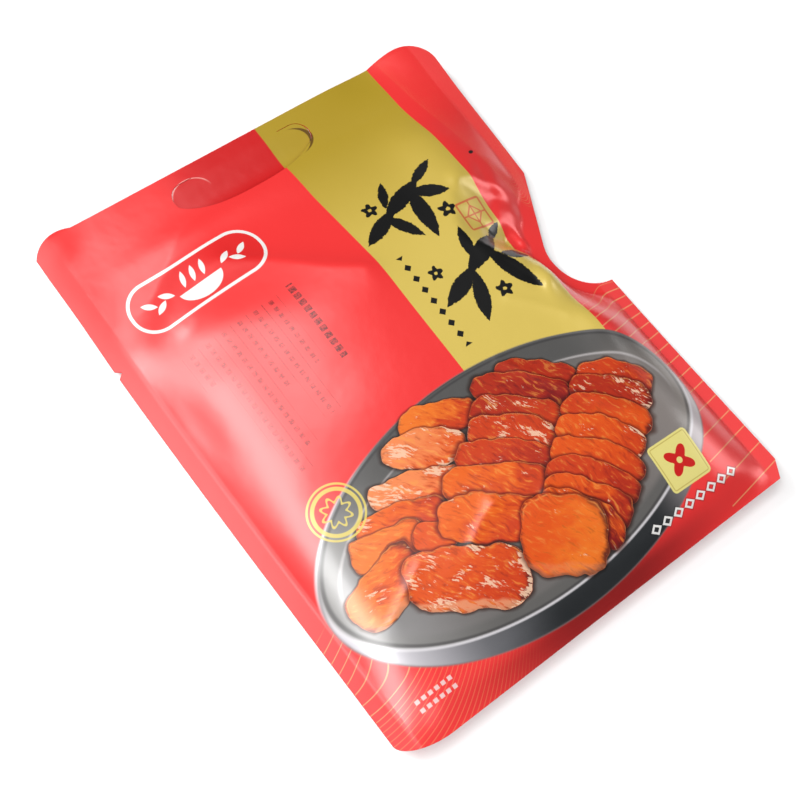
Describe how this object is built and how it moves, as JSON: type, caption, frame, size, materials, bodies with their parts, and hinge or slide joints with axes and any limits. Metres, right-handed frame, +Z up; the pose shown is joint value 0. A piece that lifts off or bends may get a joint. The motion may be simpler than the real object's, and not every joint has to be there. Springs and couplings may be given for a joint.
{
  "type": "sealed food pouch",
  "caption": "Shut film pouch of sliced braised honey pork, lying flat, with a rounded carry slit, a tear nick and a scalloped tear edge.",
  "frame": {"origin": "on the table under the middle of the pouch's outline", "axes": "+X to the pouch's right side, +Y to its top edge with the carry slit, +Z up out of its printed front"},
  "size_m": [0.17, 0.2116, 0.0192],
  "materials": {
    "pouch_film": "satin printed laminate film, red with a gold stripe and a picture of glazed sliced meat"
  },
  "bodies": {
    "root": {"pouch": "pouch_film"}
  },
  "joints": []
}
